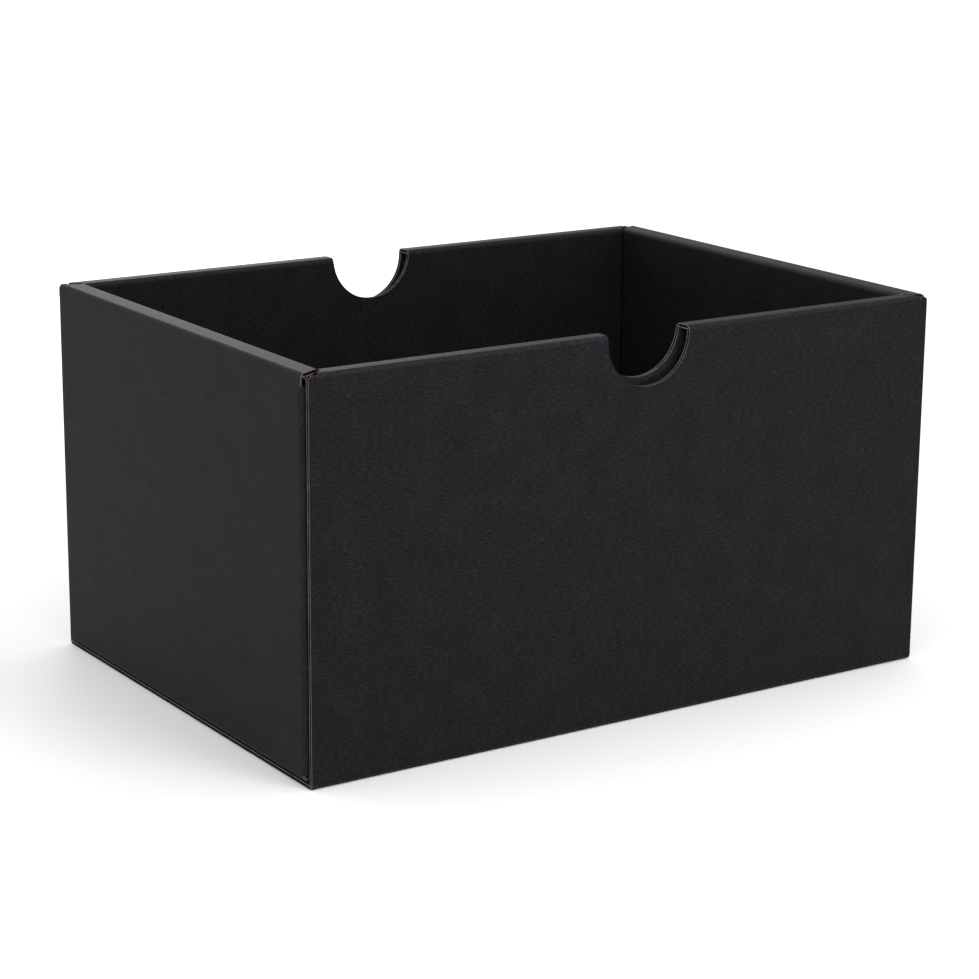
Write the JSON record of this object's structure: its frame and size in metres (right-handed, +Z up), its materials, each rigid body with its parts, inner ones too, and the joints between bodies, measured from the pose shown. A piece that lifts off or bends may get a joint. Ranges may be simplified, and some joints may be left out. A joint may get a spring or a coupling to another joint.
{
  "type": "corrugated tray box",
  "caption": "Open-top rectangular tray box of black corrugated board with double roll-over walls and half-round thumb notches in both long walls.",
  "frame": {"origin": "centre of the underside", "axes": "+X along the long side, the front wall towards -Y, +Z up"},
  "size_m": [0.3232, 0.228, 0.172],
  "materials": {
    "board": "matt black kraft liners on both faces, brown cut edges"
  },
  "bodies": {
    "tray": {"outer_floor": "board", "inner_floor": "board", "front_outer_wall": "board", "back_outer_wall": "board"},
    "front_rim": {"front_strip_left": "board", "front_strip_right": "board"},
    "front_lining": {"front_inner_wall": "board"},
    "back_rim": {"back_strip_left": "board", "back_strip_right": "board"},
    "back_lining": {"back_inner_wall": "board"},
    "left_end": {"left_outer_wall": "board", "left_front_flap": "board", "left_back_flap": "board"},
    "left_rim": {"left_strip": "board"},
    "left_lining": {"left_inner_wall": "board"},
    "right_end": {"right_outer_wall": "board", "right_front_flap": "board", "right_back_flap": "board"},
    "right_rim": {"right_strip": "board"},
    "right_lining": {"right_inner_wall": "board"}
  },
  "joints": [
    {"name": "front_rim_crease", "type": "hinge", "parent": "tray", "child": "front_rim", "pos_m": [0, -0.114, 0.172], "axis": [1, 0, 0], "range_deg": [0, 90]},
    {"name": "front_lining_crease", "type": "hinge", "parent": "front_rim", "child": "front_lining", "pos_m": [0, -0.1046, 0.172], "axis": [1, 0, 0], "range_deg": [0, 90]},
    {"name": "back_rim_crease", "type": "hinge", "parent": "tray", "child": "back_rim", "pos_m": [0, 0.114, 0.172], "axis": [-1, 0, 0], "range_deg": [0, 90]},
    {"name": "back_lining_crease", "type": "hinge", "parent": "back_rim", "child": "back_lining", "pos_m": [0, 0.1046, 0.172], "axis": [-1, 0, 0], "range_deg": [0, 90]},
    {"name": "left_end_crease", "type": "hinge", "parent": "tray", "child": "left_end", "pos_m": [-0.1616, 0, 0.003], "axis": [0, -1, 0], "range_deg": [0, 90]},
    {"name": "left_rim_crease", "type": "hinge", "parent": "left_end", "child": "left_rim", "pos_m": [-0.1616, 0, 0.172], "axis": [0, -1, 0], "range_deg": [0, 90]},
    {"name": "left_lining_crease", "type": "hinge", "parent": "left_rim", "child": "left_lining", "pos_m": [-0.1501, 0, 0.172], "axis": [0, -1, 0], "range_deg": [0, 90]},
    {"name": "right_end_crease", "type": "hinge", "parent": "tray", "child": "right_end", "pos_m": [0.1616, 0, 0.003], "axis": [0, 1, 0], "range_deg": [0, 90]},
    {"name": "right_rim_crease", "type": "hinge", "parent": "right_end", "child": "right_rim", "pos_m": [0.1616, 0, 0.172], "axis": [0, 1, 0], "range_deg": [0, 90]},
    {"name": "right_lining_crease", "type": "hinge", "parent": "right_rim", "child": "right_lining", "pos_m": [0.1501, 0, 0.172], "axis": [0, 1, 0], "range_deg": [0, 90]}
  ]
}
